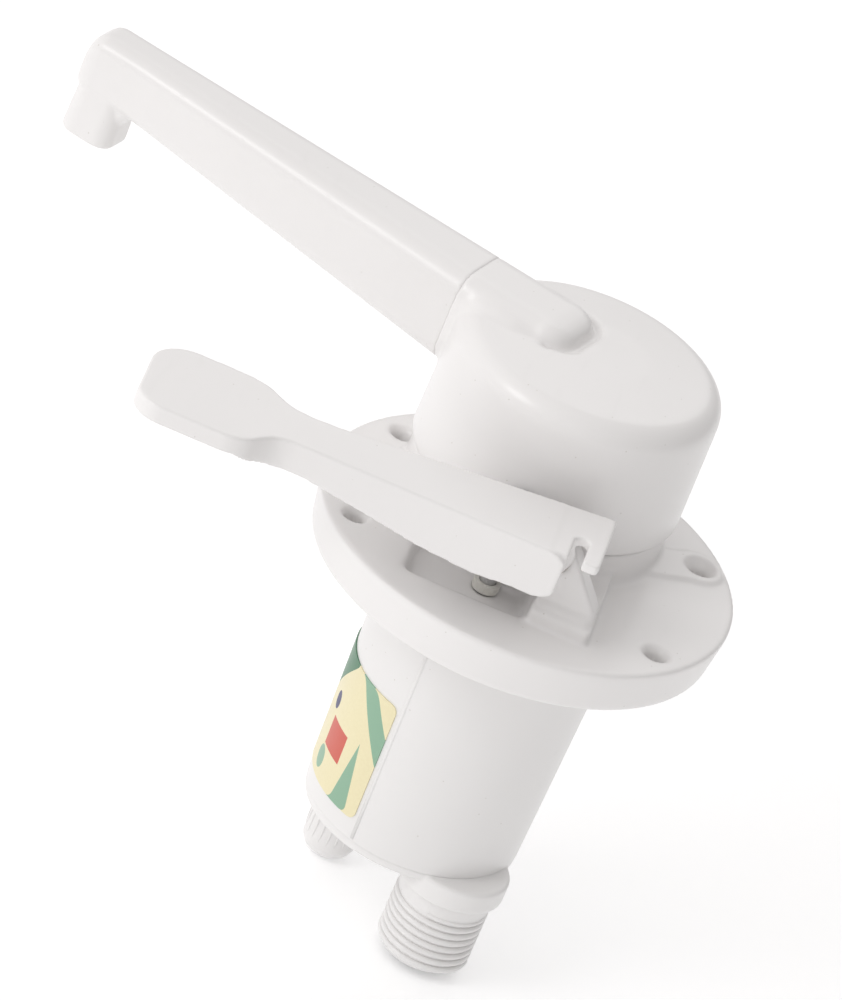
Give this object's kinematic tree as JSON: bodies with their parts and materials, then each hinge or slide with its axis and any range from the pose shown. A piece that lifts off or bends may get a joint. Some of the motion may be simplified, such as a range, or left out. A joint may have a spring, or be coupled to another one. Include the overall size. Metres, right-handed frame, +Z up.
{
  "type": "hand pump",
  "caption": "White deck-mounted hand pump with a rocking side lever, a domed head with a swivelling spout, and a barrel with threaded inlet below the deck.",
  "frame": {"origin": "centre of the flange's underside, the face that rests on the deck", "axes": "+Z up out of the deck; +X along the lever from its paddle towards its pivot; +Y from the lever towards the head"},
  "size_m": [0.1762, 0.1113, 0.1438],
  "materials": {
    "white_plastic": "satin moulded",
    "natural_plastic": "matt",
    "rubber": "matt",
    "steel": "brushed",
    "bronze": "machined",
    "label_film": "printed film"
  },
  "bodies": {
    "base": {"deck_flange": "white_plastic", "pivot_bush": "bronze", "rod_bush": "natural_plastic", "rod_seal": "rubber", "rod_wiper": "rubber", "barrel_seal": "rubber", "swivel_o_ring": "rubber", "swivel_clip": "steel", "pump_barrel": "white_plastic", "barrel_liner": "steel", "label": "label_film", "bottom_cap": "white_plastic", "cap_seal": "rubber", "inlet_spigot": "white_plastic", "drain_spigot": "white_plastic", "drain_cap": "white_plastic"},
    "lever": {"lever": "white_plastic", "pivot_pin": "steel", "drive_pin": "steel", "drive_pin_washer": "natural_plastic"},
    "piston": {"piston": "natural_plastic", "piston_rod": "steel", "rod_locknut": "steel", "piston_seal_upper": "rubber", "piston_seal_lower": "rubber"},
    "head": {"swivel_head": "white_plastic", "swivel_sleeve": "natural_plastic", "spout_arm": "white_plastic", "spout_joint_ring": "rubber", "spout_outlet_ring": "natural_plastic"},
    "foot_valve": {"foot_valve_disc": "rubber", "foot_valve_clip": "steel"},
    "transfer_valve": {"transfer_valve_disc": "rubber", "transfer_valve_clip": "steel"}
  },
  "joints": [
    {"name": "lever_pivot", "type": "hinge", "parent": "base", "child": "lever", "pos_m": [0.006, -0.02675, 0.026], "axis": [0, 1, 0], "range_deg": [-15, 28]},
    {"name": "piston_slide", "type": "slide", "parent": "base", "child": "piston", "axis": [0, 0, 1], "range_m": [-0.0032, 0.0058]},
    {"name": "spout_swivel", "type": "hinge", "parent": "base", "child": "head", "pos_m": [-0.0026, 0.0155, 0.0194], "axis": [0, 0, 1], "range_deg": [-180, 12]},
    {"name": "foot_valve_lift", "type": "slide", "parent": "base", "child": "foot_valve", "axis": [0, 0, 1], "range_m": [0, 0.002]},
    {"name": "transfer_valve_lift", "type": "slide", "parent": "piston", "child": "transfer_valve", "axis": [0, 0, 1], "range_m": [0, 0.002]}
  ],
  "couplings": [
    {"joint": "piston_slide", "follows": "lever_pivot", "m_per_rad": 0.011}
  ]
}
